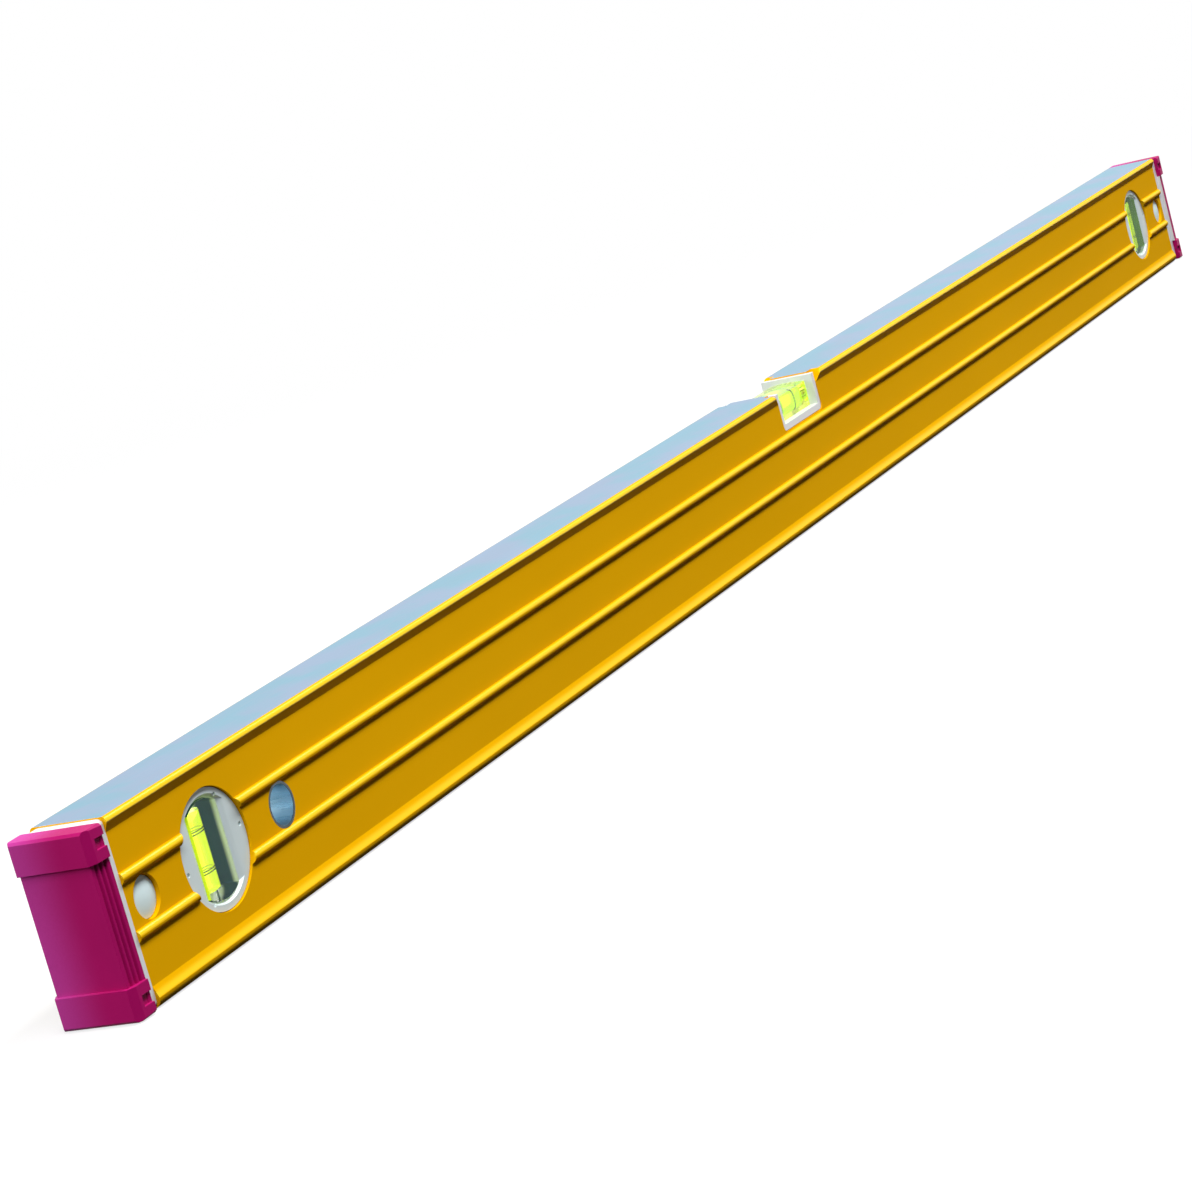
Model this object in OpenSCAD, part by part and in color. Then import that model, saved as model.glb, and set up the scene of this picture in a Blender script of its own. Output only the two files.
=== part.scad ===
// Box-section magnetic spirit level with one level vial, two plumb vials and removable end caps
// X runs along the level, Y across its thickness, Z up; the origin is the middle of the bottom measuring face
// The face with -Y outwards is called the front, and the end at -X the left one

/* [Profile] */
// Length of the aluminium profile without its end caps
prof_len = 1192; // [900:1:1900]
// Height between the two milled measuring faces
prof_h = 63; // [60:0.5:70]
// Thickness over the lips along the top and bottom edges
prof_w = 29; // [28:0.5:34]
// How far the lips stand proud of the side faces
lip_step = 1.5; // [0.8:0.1:2]
// Radius of the painted lip edges beside the milled faces
lip_r = 1.8; // [1:0.1:2.6]
// Height of the slope from a lip's edge to the side face
lip_slope = 3.3; // [2:0.1:3.6]
// How much further the ribs and windows lie from the bottom face than from the top face
foot_h = 3; // [0:0.1:4]
// Radius of the rounded lips beside the bottom face
foot_r = 3.4; // [2:0.1:3.6]
// Height of the slope from a bottom lip to the side face
foot_slope = 3.8; // [2:0.1:4.4]
// Thickness of the side walls
side_wall = 2.8; // [2.2:0.1:3.2]
// Thickness of the top and bottom walls
flange_wall = 4; // [3.5:0.1:5]
// Fillet inside the hollow
cavity_r = 2.5; // [1.5:0.1:3]

/* [Ribs] */
// Height of each rib above or below the middle line
rib_z = 9.5; // [8:0.5:12]
// Radius of the round back of a rib
rib_r = 2; // [1.5:0.1:2.4]
// How far a rib stands proud of the side face
rib_proud = 1.4; // [0.8:0.1:1.8]

/* [Plumb vials] */
// Distance of each plumb vial from the end of the profile
plumb_inset = 54.5; // [50:0.5:120]
// Diameter of the round windows
plumb_hole_d = 41; // [39:0.5:43]
// Depth of the bezel face below the side face
bezel_recess = 0.9; // [0.6:0.1:2]
// Thickness of a bezel plate
bezel_t = 2.6; // [2.2:0.1:3]
// Width of the ring of a bezel above and below its opening
bezel_ring = 3.2; // [2.6:0.1:4]
// Half width of the bezel opening between its straight sides
open_hw = 9.3; // [7.5:0.1:10]
// Width of the bevel along the straight sides
open_bevel = 3; // [1:0.1:4]
// Depth of that bevel
bevel_depth = 1.4; // [0.8:0.1:1.5]
// Diameter of the small dimples in a bezel
dimple_d = 1.6; // [1:0.1:2]
// Width of the carrier's seat behind the wall, round the window
carrier_lap = 1.9; // [1:0.1:3]
// Wall of the carrier
carrier_wall = 1.6; // [1.2:0.1:2]
// How far the clear block reaches into the bezel opening
block_rise = 2.1; // [0.4:0.1:2.2]

/* [Vial tubes] */
// Radius of the bore of a plumb vial
plumb_bore_r = 4.9; // [4:0.1:5.5]
// Length of the bore of a plumb vial
plumb_bore_len = 27; // [24:0.5:29]
// Height of the bubble at rest at the top of a plumb vial
plumb_bubble_h = 3; // [2.5:0.1:4]
// Distance of the read lines of a plumb vial from its middle
plumb_line_z = 6.7; // [5:0.1:8]
// Radius of the fill plugs
plug_r = 3; // [2:0.1:3.5]
// Width of a read line
line_w = 0.4; // [0.3:0.05:0.5]
// Depth of a read line in the bore wall
line_d = 0.3; // [0.2:0.05:0.4]
// Distance between the two lines of a pair
line_gap = 0.9; // [0.8:0.1:1.4]

/* [Level vial] */
// Half width of the window for the level vial
win_hw = 24; // [22.5:0.5:28]
// Height of the window's sill above the middle line
win_sill = 12; // [11.5:0.1:13]
// Corner radius at the sill
win_r = 3; // [1.5:0.1:4]
// How far the lips are cut back beside the window
flare_w = 6; // [2:0.5:8]
// Height of that cut
flare_h = 5; // [3:0.5:6]
// Thickness of the white vial housing
housing_wall = 3; // [2.2:0.1:3.4]
// Depth of the housing's edge below the side face
housing_recess = 0.4; // [0.2:0.1:1]
// Depth of the housing's top below the milled face
housing_drop = 0.6; // [0.3:0.1:1.5]
// Depth of the clear block behind the housing's edge
block_recess = 4; // [3:0.1:4.5]
// Depth of the clear block's top below the housing's top
block_drop = 2.2; // [1:0.1:3]
// Wall of the clear block above and below the bore
level_wall = 1.2; // [1:0.1:1.6]
// Loss of radius towards the ends of that bore
level_taper = 0.2; // [0.1:0.05:0.3]
// Half length of that bore
level_bore_hl = 17; // [15.5:0.5:17.5]
// Half length of the bubble
bubble_hl = 7; // [6:0.1:8]
// How much smaller the bubble's radius is than the bore's
bubble_less = 1.5; // [1:0.1:1.8]
// Height of the crown of the clear block
crown_h = 0.6; // [0.3:0.1:1]

/* [Hanging hole] */
// Distance of the hanging hole from the left end of the profile
hang_inset = 98; // [92:1:200]
// Diameter of the hanging hole in the walls
hang_d = 16; // [12:0.5:18]
// Wall of the metal sleeve in the hanging hole
sleeve_wall = 0.9; // [0.6:0.1:1.5]

/* [Magnets] */
// Distance of the inner magnets from the ends of the profile
magnet_in_inset = 426; // [270:1:426]
// Distance of the outer magnets from the ends of the profile
magnet_out_inset = 196; // [120:1:210]
// Length of a magnet
magnet_len = 38; // [20:1:50]
// Width of a magnet
magnet_w = 8; // [6:0.5:9]
// Thickness of a magnet
magnet_t = 4.6; // [3:0.1:6]
// Depth of magnets and trays below the measuring face
magnet_recess = 0.3; // [0.1:0.1:0.6]
// Plastic left round a magnet
tray_wall = 2; // [1:0.1:2.5]
// Width and thickness of the flange that holds a tray inside
tray_flange = 1.6; // [1:0.1:2]

/* [End caps] */
// Length of the white neck between profile and bumper
neck_len = 4.5; // [4:0.5:10]
// Length of the rubber bumper
bumper_len = 9.5; // [9:0.1:12]
// How far the neck and the bumper stay inside the measuring faces
cap_inset = 0.5; // [0.3:0.1:1]
// How far the bumper stands proud of the side faces
block_proud = 2.6; // [2.2:0.1:4]
// How far the middle of the bumper stays inside its blocks at the back
mid_less = 0.8; // [0.4:0.1:1]
// How much less the white flange behind the bumper stands out
flange_less = 1; // [0.8:0.1:1.4]
// Thickness of that flange
flange_t = 0.8; // [0.6:0.1:1.4]
// Height of the upper and lower bumper blocks
block_h = 11; // [9:0.5:14]
// How far the blocks stand out past the middle of the end face
block_step = 1.2; // [0.6:0.1:1.4]
// Chamfer of the blocks towards the measuring faces
block_chamfer = 0.9; // [0.6:0.1:2]
// Width of the chamfer on each side of the end face
face_chamfer = 2.1; // [1.6:0.1:3]
// Width of each of the three grip grooves at its mouth
groove_w = 1.3; // [0.9:0.05:1.6]
// Depth of a grip groove
groove_d = 1.2; // [0.6:0.1:1.4]
// Length of the plug inside the profile
shoe_len = 26; // [25:0.5:34]
// Height of each half of the plug
shoe_h = 9; // [7:0.5:10]
// Length of the key that holds the bumper on its core
key_len = 3.4; // [3:0.1:3.6]

/* [Catches] */
// Distance of the catch holes from the end of the profile
catch_inset = 11; // [10.8:0.1:13]
// Diameter of the catch holes
catch_hole_d = 14.4; // [12:0.1:15]
// Thickness of a catch tongue
tongue_t = 2; // [1.6:0.1:2.2]
// Distance of the tongue's root from the end of the profile
root_inset = 2.6; // [2.2:0.1:3]
// Length of the tongue past its root
tongue_len = 21; // [20:0.1:21.5]
// Depth of the pad's edge below the side face
pad_depth = 1.5; // [1.2:0.1:1.6]
// Thickness of the pad's edge
pad_t = 0.4; // [0.2:0.1:0.5]
// Height of the pad's dome
pad_dome = 0.9; // [0.5:0.1:1]

/* [Clearances] */
// Gap between pieces that slide into each other
fit = 0.3; // [0.2:0.05:0.4]
// Gap between pieces that are glued or pressed together
snug = 0.05; // [0.02:0.01:0.1]

/* [Hidden] */
$fn = 64;

// Extra length of every cutter past the surface that it opens
over = 1;
// Half thickness of the profile and height of the middle of its windows
half_w = prof_w/2;
mid_z = (prof_h + foot_h)/2;
end_x = prof_len/2;
// Distance of the side faces and of the hollow's walls from the middle plane
face_y = half_w - lip_step;
cav_y = face_y - side_wall;
cav_h = prof_h - 2*flange_wall;
// Angle at which the round back of a rib leaves the side face
rib_angle = acos((rib_r - rib_proud)/rib_r);
// Places along the level
plumb_x = end_x - plumb_inset;
hang_x = -end_x + hang_inset;
catch_x = catch_inset;
// Places across a plumb vial, measured from the middle plane
bezel_y = face_y - bezel_recess;
seat_y = bezel_y - bezel_t;
carrier_y = cav_y - fit;
bezel_r = plumb_hole_d/2 - fit;
open_r = bezel_r - bezel_ring;
carrier_r = plumb_hole_d/2 + carrier_lap;
vial_hw = open_hw - fit;
vial_r = open_r - fit;
vial_y = seat_y + block_rise;
carrier_web = 2.4;
dimple_r_place = bezel_r - 2.2;
dimple_depth = 0.6;
// Plumb bore: ends, bubble and its lower surface
bore_top = plumb_bore_len/2;
bubble_side = 1;
bubble_end_gap = fit;
plug_len = vial_r - bore_top;
// Level vial: window, housing, block and bore
win_z = mid_z + win_sill;
housing_y = face_y - housing_recess;
housing_hl = win_hw - fit;
housing_z0 = win_z + fit;
housing_z1 = prof_h - housing_drop;
block_hl = housing_hl - housing_wall - snug;
block_y = housing_y - block_recess;
block_z0 = housing_z0 + housing_wall + snug;
block_z1 = housing_z1 - block_drop;
level_z = (block_z0 + block_z1 - crown_h)/2;
level_bore_r = (block_z1 - crown_h - block_z0)/2 - level_wall;
bubble_r = level_bore_r - bubble_less;
leg_x = 13;
leg_w = 7;
leg_t = 1.8;
leg_h = 8;
level_line_x = bubble_hl + 0.6;
straight_hl = level_line_x + line_gap + line_w + 0.5;
bubble_z = level_bore_r - fit - bubble_r;
void_gap = fit/2;
// Magnet trays: places, slot in the bottom wall and flange inside
magnet_in = end_x - magnet_in_inset;
magnet_out = end_x - magnet_out_inset;
tray_r = magnet_w/2 + tray_wall;
tray_len = magnet_len + 2*tray_wall;
tray_top = max(magnet_t + magnet_recess, flange_wall) + tray_flange;
// End cap, measured from the end of the profile outwards
cap_z0 = cap_inset;
cap_h = prof_h - 2*cap_inset;
neck_y = face_y;
neck_r = 2;
cap_end = neck_len + bumper_len;
mid_end = cap_end - block_step;
block_out = face_y + block_proud;
end_face_hw = block_out - face_chamfer;
facet_len = 3;
chamfer_u = cap_end - facet_len;
flange_out = block_out - flange_less;
flange_z0 = cap_inset + block_h + fit;
facet_rise = 1.6;
mid_back = block_out - mid_less;
mid_lean = 0.3;
mid_front = end_face_hw - mid_lean;
groove_floor = 0.3;
groove_step = (mid_end - neck_len)/4;
notch_h = 3.6;
notch_u = 5;
notch_d = 1.3;
notch_lift = (block_h - notch_h)/2;
key_hw = 6;
key_h = 28;
shoe_y = cav_y - fit;
shoe_slot_hw = 5.6;
shoe_slot_h = 6;
// Catches, at the +Y side
tongue_out = cav_y - fit;
tongue_in = tongue_out - tongue_t;
root_y = (tongue_out + tongue_in)/2;
root_r = tongue_t/2;
tongue_w = 13;
peg_r = catch_hole_d/2 - fit;
pad_y = face_y - pad_depth;
dome_r = (peg_r*peg_r + pad_dome*pad_dome)/(2*pad_dome);
post_in = root_y - root_r - 1;

// Colours
MUSTARD = [0.86, 0.60, 0.03];
WHITE = [0.90, 0.90, 0.92];
MAGENTA = [0.72, 0.08, 0.42];
LIME = [0.80, 1.00, 0.12];
CLEAR = [0.88, 0.96, 0.92, 0.4];
STEEL = [0.75, 0.76, 0.78];
SLATE = [0.15, 0.20, 0.22];
INK = [0.05, 0.06, 0.05];

// Points on an arc about [cx, cy] from angle a0 to a1 in n steps
function arc(cx, cy, r, a0, a1, n) =
    [for (i = [0:n]) [cx + r*cos(a0 + (a1 - a0)*i/n), cy + r*sin(a0 + (a1 - a0)*i/n)]];
function mirror_x(pts) = [for (i = [len(pts) - 1:-1:0]) [-pts[i][0], pts[i][1]]];
// Outline of a rectangle with round corners, hw to each side of 0 and from z0 up by h
function round_rect(hw, z0, h, r) = concat(
    arc(hw - r, z0 + r, r, -90, 0, 5), arc(hw - r, z0 + h - r, r, 0, 90, 5),
    arc(-hw + r, z0 + h - r, r, 90, 180, 5), arc(-hw + r, z0 + r, r, 180, 270, 5));
// Lower surface of a bubble that hangs below z by sag in its middle, out to radius r
function meniscus(r, z, sag, n) =
    let (big = (r*r + sag*sag)/(2*sag))
    [for (i = [0:n]) [r*i/n, z + big - sag - sqrt(big*big - r*r*i*i/(n*n))]];

// Outer outline of the profile: one side from the upper lip down to the lower one, then its mirror image
function rib_arc(z) = arc(face_y + rib_proud - rib_r, z, rib_r, rib_angle, -rib_angle, 8);
side_outline = concat(
    arc(half_w - lip_r, prof_h - lip_r, lip_r, 90, 0, 6),
    [[face_y, prof_h - lip_r - lip_slope]],
    rib_arc(mid_z + rib_z),
    rib_arc(mid_z - rib_z),
    [[face_y, foot_r + foot_slope]],
    arc(half_w - foot_r, foot_r, foot_r, 0, -90, 8));
prof_outline = concat(side_outline, mirror_x(side_outline));

// Placing helpers: extrude along X from x0, along Y through the middle plane, or turn a round shape to Y
module along_x(x0, h) translate([x0, 0, 0]) rotate([90, 0, 90]) linear_extrude(height = h) children();
module across_y(h) rotate([90, 0, 0]) linear_extrude(height = h, center = true) children();
module y_rod(r, y0, y1) translate([0, y0, 0]) rotate([-90, 0, 0]) cylinder(r = r, h = y1 - y0);
module y_cone(r0, r1, y0, y1) translate([0, y0, 0]) rotate([-90, 0, 0]) cylinder(r1 = r0, r2 = r1, h = y1 - y0);
module x_rod(r, x0, x1) translate([x0, 0, 0]) rotate([0, 90, 0]) cylinder(r = r, h = x1 - x0);
module both_sides() {
    children();
    mirror([0, 1, 0]) children();
}
module end_of(side) {
    if (side < 0) mirror([1, 0, 0]) translate([end_x, 0, 0]) children();
    else translate([end_x, 0, 0]) children();
}
module plumb_at(side) translate([side*plumb_x, 0, mid_z]) children();
module slot_2d(length, r) {
    square([length - 2*r, 2*r], center = true);
    for (s = [-1, 1]) translate([s*(length/2 - r), 0]) circle(r = r);
}

// Window of the level vial, with its sill corners rounded
module window_2d(hw, z0, r) {
    polygon(concat(arc(hw - r, z0 + r, r, -90, 0, 6), [[hw, prof_h + over], [-hw, prof_h + over]],
        arc(-hw + r, z0 + r, r, 180, 270, 6)));
}
// Wedges that cut the lips back on both sides of the window
module flare_cuts() {
    both_sides() for (s = [-1, 1])
        translate([0, cav_y - 1, 0]) mirror([s < 0 ? 1 : 0, 0, 0]) rotate([90, 0, 0]) mirror([0, 0, 1])
            linear_extrude(height = half_w - cav_y + 1 + over)
                polygon([[win_hw - over, prof_h - flare_h], [win_hw, prof_h - flare_h],
                    [win_hw + flare_w, prof_h], [win_hw + flare_w, prof_h + over], [win_hw - over, prof_h + over]]);
}
module profile() {
    color(MUSTARD) difference() {
        along_x(-end_x, prof_len) polygon(prof_outline);
        along_x(-end_x - over, prof_len + 2*over) polygon(round_rect(cav_y, flange_wall, cav_h, cavity_r));
        for (s = [-1, 1]) {
            translate([s*plumb_x, 0, mid_z]) y_rod(plumb_hole_d/2, -half_w - over, half_w + over);
            translate([s*(end_x - catch_inset), 0, mid_z]) y_rod(catch_hole_d/2, -half_w - over, half_w + over);
        }
        translate([hang_x, 0, mid_z]) y_rod(hang_d/2, -half_w - over, half_w + over);
        across_y(prof_w + 2*over) window_2d(win_hw, win_z, win_r);
        flare_cuts();
        for (x = [-magnet_out, -magnet_in, magnet_in, magnet_out])
            translate([x, 0, -over]) linear_extrude(height = flange_wall + 2*over) slot_2d(tray_len, tray_r);
    }
}

// Metal sleeve of the hanging hole, flush with both side faces
module hanging_sleeve() {
    color(STEEL) translate([hang_x, 0, mid_z]) difference() {
        y_rod(hang_d/2 - snug, -face_y, face_y);
        y_rod(hang_d/2 - snug - sleeve_wall, -face_y - over, face_y + over);
    }
}

// White ring in a round window, at the front; its opening has straight sides and round ends
module bezel() {
    color(WHITE) difference() {
        y_rod(bezel_r, -bezel_y, -seat_y);
        intersection() {
            linear_extrude(height = 2*bezel_r, center = true) polygon([
                [open_hw + open_bevel, -bezel_y - over], [open_hw + open_bevel, -bezel_y],
                [open_hw, -bezel_y + bevel_depth], [open_hw, over],
                [-open_hw, over], [-open_hw, -bezel_y + bevel_depth],
                [-open_hw - open_bevel, -bezel_y], [-open_hw - open_bevel, -bezel_y - over]]);
            union() {
                y_rod(open_r, -bezel_y - over, 0);
                y_cone(open_r + bezel_ring/3, open_r, -bezel_y, -bezel_y + bevel_depth);
            }
        }
        for (a = [62, 8, 188, 242])
            translate([dimple_r_place*cos(a), 0, dimple_r_place*sin(a)])
                y_rod(dimple_d/2, -bezel_y - over, -bezel_y + dimple_depth);
    }
}
// Seen face of the clear block: straight sides, ends that follow the bezel opening
module vial_2d(gap) intersection() {
    square([2*(vial_hw + gap), 2*open_r + 2], center = true);
    circle(r = vial_r + gap);
}
// Carrier between the walls: a ring, a web and a holder for the clear block, with a seat for each bezel
module carrier() {
    color(SLATE) difference() {
        y_rod(carrier_r, -carrier_y, carrier_y);
        both_sides() {
            y_rod(bezel_r + snug, seat_y, carrier_y + over);
            difference() {
                y_rod(carrier_r - carrier_wall, carrier_web/2, seat_y + over);
                across_y(2*prof_w) intersection() {
                    square([2*(vial_hw + snug + carrier_wall), 2*carrier_r], center = true);
                    circle(r = vial_r + snug + carrier_wall);
                }
            }
        }
        across_y(2*prof_w) vial_2d(snug);
    }
}
module read_ring(r) rotate_extrude() translate([r, -line_w/2]) square([line_d, line_w]);
module plumb_lines_at() {
    for (s = [-1, 1]) for (k = [-1, 1])
        translate([0, 0, s*plumb_line_z + k*line_gap/2]) children();
}
// Clear acrylic block of a plumb vial with its bore, fill hole and line grooves
module plumb_block() {
    color(CLEAR) difference() {
        across_y(2*vial_y) vial_2d(0);
        cylinder(r = plumb_bore_r, h = plumb_bore_len, center = true);
        translate([0, 0, -vial_r - over]) cylinder(r = plug_r, h = plug_len + 2*over);
        plumb_lines_at() cylinder(r = plumb_bore_r + line_d, h = line_w, center = true);
    }
}
module plumb_lines() color(INK) plumb_lines_at() read_ring(plumb_bore_r);
module plumb_liquid() {
    edge = bore_top - bubble_end_gap - bubble_side - void_gap;
    surface = meniscus(plumb_bore_r, edge, plumb_bubble_h - bubble_side, 8);
    color(LIME) rotate_extrude() polygon(concat([[0, -bore_top], [plumb_bore_r, -bore_top]],
        [for (i = [len(surface) - 1:-1:0]) surface[i]]));
}
module plumb_bubble() {
    top = bore_top - bubble_end_gap;
    r = plumb_bore_r - fit;
    color(CLEAR) rotate_extrude() polygon(concat(
        meniscus(r, top - bubble_side, plumb_bubble_h - bubble_side, 8), [[r, top - fit], [r - fit, top], [0, top]]));
}
module plumb_plug() {
    color(WHITE) intersection() {
        translate([0, 0, -vial_r]) cylinder(r = plug_r - snug, h = plug_len);
        across_y(2*vial_y) vial_2d(0);
    }
}

// White housing of the level vial: a tray with a sill and two end walls, and four legs inside the profile
module level_housing() {
    color(WHITE) {
        difference() {
            across_y(2*housing_y) difference() {
                polygon(concat(arc(housing_hl - win_r, housing_z0 + win_r, win_r, -90, 0, 6),
                    [[housing_hl, housing_z1], [-housing_hl, housing_z1]],
                    arc(-housing_hl + win_r, housing_z0 + win_r, win_r, 180, 270, 6)));
                translate([-block_hl - snug, block_z0 - snug]) square([2*(block_hl + snug), prof_h]);
            }
            translate([0, 0, level_z]) x_rod(plug_r, block_hl - over, housing_hl + over);
        }
        for (s = [-1, 1]) both_sides()
            translate([s*leg_x - leg_w/2, cav_y - fit - leg_t, housing_z0 - leg_h])
                cube([leg_w, leg_t, leg_h]);
    }
}
// Bore of the level vial, slightly wider in its middle so that the bubble comes to rest there
module level_bore(grow) {
    rotate([0, 90, 0]) rotate_extrude() polygon([[0, -level_bore_hl], [level_bore_r - level_taper + grow, -level_bore_hl],
        [level_bore_r + grow, -straight_hl], [level_bore_r + grow, straight_hl],
        [level_bore_r - level_taper + grow, level_bore_hl], [0, level_bore_hl]]);
}
module level_lines_at() {
    for (s = [-1, 1]) for (k = [0, 1])
        translate([s*(level_line_x + k*line_gap), 0, 0]) rotate([0, 90, 0]) children();
}
module level_at() translate([0, 0, level_z]) children();
// Clear block of the level vial, crowned on top like a lens
module level_block() {
    crown_r = (block_y*block_y + crown_h*crown_h)/(2*crown_h);
    color(CLEAR) difference() {
        intersection() {
            translate([-block_hl, -block_y, block_z0]) cube([2*block_hl, 2*block_y, block_z1 - block_z0]);
            translate([0, 0, block_z1 - crown_r]) x_rod(crown_r, -block_hl - over, block_hl + over);
        }
        level_at() {
            level_bore(0);
            x_rod(plug_r, 0, block_hl + over);
            level_lines_at() cylinder(r = level_bore_r + line_d, h = line_w, center = true);
        }
    }
}
module level_lines() color(INK) level_at() level_lines_at() read_ring(level_bore_r);
module capsule(hl, r) {
    x_rod(r, -hl + r, hl - r);
    for (s = [-1, 1]) translate([s*(hl - r), 0, 0]) sphere(r = r);
}
module level_liquid() {
    color(LIME) level_at() difference() {
        level_bore(0);
        translate([0, 0, bubble_z]) {
            capsule(bubble_hl + void_gap, bubble_r + void_gap);
            translate([-bubble_hl + bubble_r, -bubble_r, 0])
                cube([2*(bubble_hl - bubble_r), 2*bubble_r, level_bore_r]);
        }
    }
}
module level_bubble() color(CLEAR) level_at() translate([0, 0, bubble_z]) capsule(bubble_hl, bubble_r);
module level_plug() color(WHITE) level_at() x_rod(plug_r - snug, level_bore_hl, block_hl);

// Magnet and its tray, pressed into a slot of the bottom wall
module magnet() {
    color(STEEL) translate([-magnet_len/2, -magnet_w/2, magnet_recess]) cube([magnet_len, magnet_w, magnet_t]);
}
module magnet_tray() {
    pocket_len = magnet_len + 2*snug;
    pocket_w = magnet_w + 2*snug;
    color(SLATE) difference() {
        union() {
            translate([0, 0, magnet_recess]) linear_extrude(height = tray_top - magnet_recess)
                slot_2d(tray_len - 2*snug, tray_r - snug);
            translate([0, 0, flange_wall]) linear_extrude(height = tray_top - flange_wall)
                slot_2d(tray_len + 2*tray_flange, tray_r + tray_flange);
        }
        translate([-pocket_len/2, -pocket_w/2, -over])
            cube([pocket_len, pocket_w, magnet_recess + magnet_t + over + snug]);
    }
}

// Core of an end cap: neck, key for the bumper, two halves of the plug and a root post for each tongue
module cap_core() {
    color(WHITE) difference() {
        union() {
            along_x(0, neck_len) polygon(round_rect(neck_y, cap_z0, cap_h, neck_r));
            translate([neck_len - flange_t, -flange_out, flange_z0])
                cube([flange_t, 2*flange_out, prof_h - 2*flange_z0]);
            translate([neck_len - over, -key_hw, mid_z - key_h/2]) cube([key_len + over, 2*key_hw, key_h]);
            for (z = [flange_wall + fit, prof_h - flange_wall - fit - shoe_h])
                along_x(-shoe_len, shoe_len + over) polygon(round_rect(shoe_y, z, shoe_h, cavity_r));
            both_sides() translate([-root_inset, post_in, mid_z - tongue_w/2])
                cube([root_inset + over, tongue_out - post_in, tongue_w]);
        }
        for (z = [flange_wall + fit + shoe_h/2, prof_h - flange_wall - fit - shoe_h/2])
            translate([-shoe_len - over, -shoe_slot_hw, z - shoe_slot_h/2])
                cube([shoe_len, 2*shoe_slot_hw, shoe_slot_h]);
        both_sides() translate([-root_inset, root_y, mid_z - tongue_w/2 - over])
            cylinder(r = root_r + fit/2, h = tongue_w + 2*over);
    }
}
// Half outline of the bumper's middle and of its blocks, seen from above
function mid_at(u) = mid_back - (mid_back - mid_front)*(u - neck_len)/(mid_end - neck_len);
mid_half = concat(
    [[neck_len, mid_back]],
    [for (i = [1:3], side = [-1, -groove_floor, groove_floor, 1])
        let (u = neck_len + i*groove_step + side*groove_w/2) [u, mid_at(u) - (abs(side) < 1 ? groove_d : 0)]],
    [[mid_end, mid_front]]);
block_half = [[neck_len, block_out], [chamfer_u, end_face_hw + facet_rise], [cap_end, end_face_hw]];
function flip_y(pts) = [for (i = [len(pts) - 1:-1:0]) [pts[i][0], -pts[i][1]]];
// One block at the upper measuring face, with chamfers and a finger notch on each side
module bumper_block() {
    top = prof_h - cap_z0;
    difference() {
        intersection() {
            translate([0, 0, top - block_h]) linear_extrude(height = block_h)
                polygon(concat(block_half, flip_y(block_half)));
            across_y(2*block_out + 2*over) polygon([[neck_len - over, top - block_h - over], [neck_len - over, top],
                [cap_end - block_chamfer, top], [cap_end + over, top - block_chamfer - over],
                [cap_end + over, top - block_h - over]]);
            along_x(neck_len - over, bumper_len + 2*over) polygon([[block_out, top - block_h - over],
                [block_out, top - block_chamfer], [block_out - block_chamfer, top],
                [-block_out + block_chamfer, top], [-block_out, top - block_chamfer],
                [-block_out, top - block_h - over]]);
        }
        both_sides() translate([neck_len - over, block_out - notch_d, top - block_h + notch_lift])
            cube([notch_u + over, notch_d + over, notch_h]);
    }
}
// Rubber bumper: a grooved middle between two blocks, with a recess for the key of the core
module cap_bumper() {
    color(MAGENTA) difference() {
        union() {
            translate([0, 0, cap_z0 + block_chamfer]) linear_extrude(height = cap_h - 2*block_chamfer)
                polygon(concat(mid_half, flip_y(mid_half)));
            bumper_block();
            translate([0, 0, prof_h]) mirror([0, 0, 1]) bumper_block();
        }
        translate([neck_len - over, -key_hw - snug, mid_z - key_h/2 - snug])
            cube([key_len + over + snug, 2*(key_hw + snug), key_h + 2*snug]);
    }
}
// Spring tongue with a round peg that snaps into the catch hole, at the +Y side
module catch_tongue() {
    color(WHITE) {
        translate([-root_inset - tongue_len, tongue_in, mid_z - tongue_w/2])
            cube([tongue_len, tongue_t, tongue_w]);
        translate([-root_inset, root_y, mid_z - tongue_w/2]) cylinder(r = root_r, h = tongue_w);
        translate([-catch_x, 0, mid_z]) y_rod(peg_r, tongue_in, pad_y - pad_t);
    }
}
// Soft domed pad on the peg
module catch_pad() {
    color([0.93, 0.93, 0.95]) translate([-catch_x, 0, mid_z]) rotate([-90, 0, 0]) rotate_extrude()
        polygon(concat([[0, pad_y - pad_t], [peg_r, pad_y - pad_t]],
            arc(0, pad_y + pad_dome - dome_r, dome_r, acos(peg_r/dome_r), 90, 8)));
}
module front() mirror([0, 1, 0]) children();

profile();
hanging_sleeve();
plumb_at(-1) bezel();  // plumb_left_front_bezel
plumb_at(-1) front() bezel();  // plumb_left_back_bezel
plumb_at(-1) carrier();  // plumb_left_carrier
plumb_at(-1) plumb_block();  // plumb_left_block
plumb_at(-1) plumb_liquid();  // plumb_left_liquid
plumb_at(-1) plumb_bubble();  // plumb_left_bubble
plumb_at(-1) plumb_plug();  // plumb_left_plug
plumb_at(-1) plumb_lines();  // plumb_left_lines
plumb_at(1) bezel();  // plumb_right_front_bezel
plumb_at(1) front() bezel();  // plumb_right_back_bezel
plumb_at(1) carrier();  // plumb_right_carrier
plumb_at(1) plumb_block();  // plumb_right_block
plumb_at(1) plumb_liquid();  // plumb_right_liquid
plumb_at(1) plumb_bubble();  // plumb_right_bubble
plumb_at(1) plumb_plug();  // plumb_right_plug
plumb_at(1) plumb_lines();  // plumb_right_lines
level_housing();
level_block();
level_liquid();
level_bubble();
level_plug();
level_lines();
end_of(-1) cap_core();  // cap_left_core
end_of(-1) cap_bumper();  // cap_left_bumper
end_of(-1) front() catch_tongue();  // cap_left_front_catch
end_of(-1) catch_tongue();  // cap_left_back_catch
end_of(-1) front() catch_pad();  // cap_left_front_pad
end_of(-1) catch_pad();  // cap_left_back_pad
end_of(1) cap_core();  // cap_right_core
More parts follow.
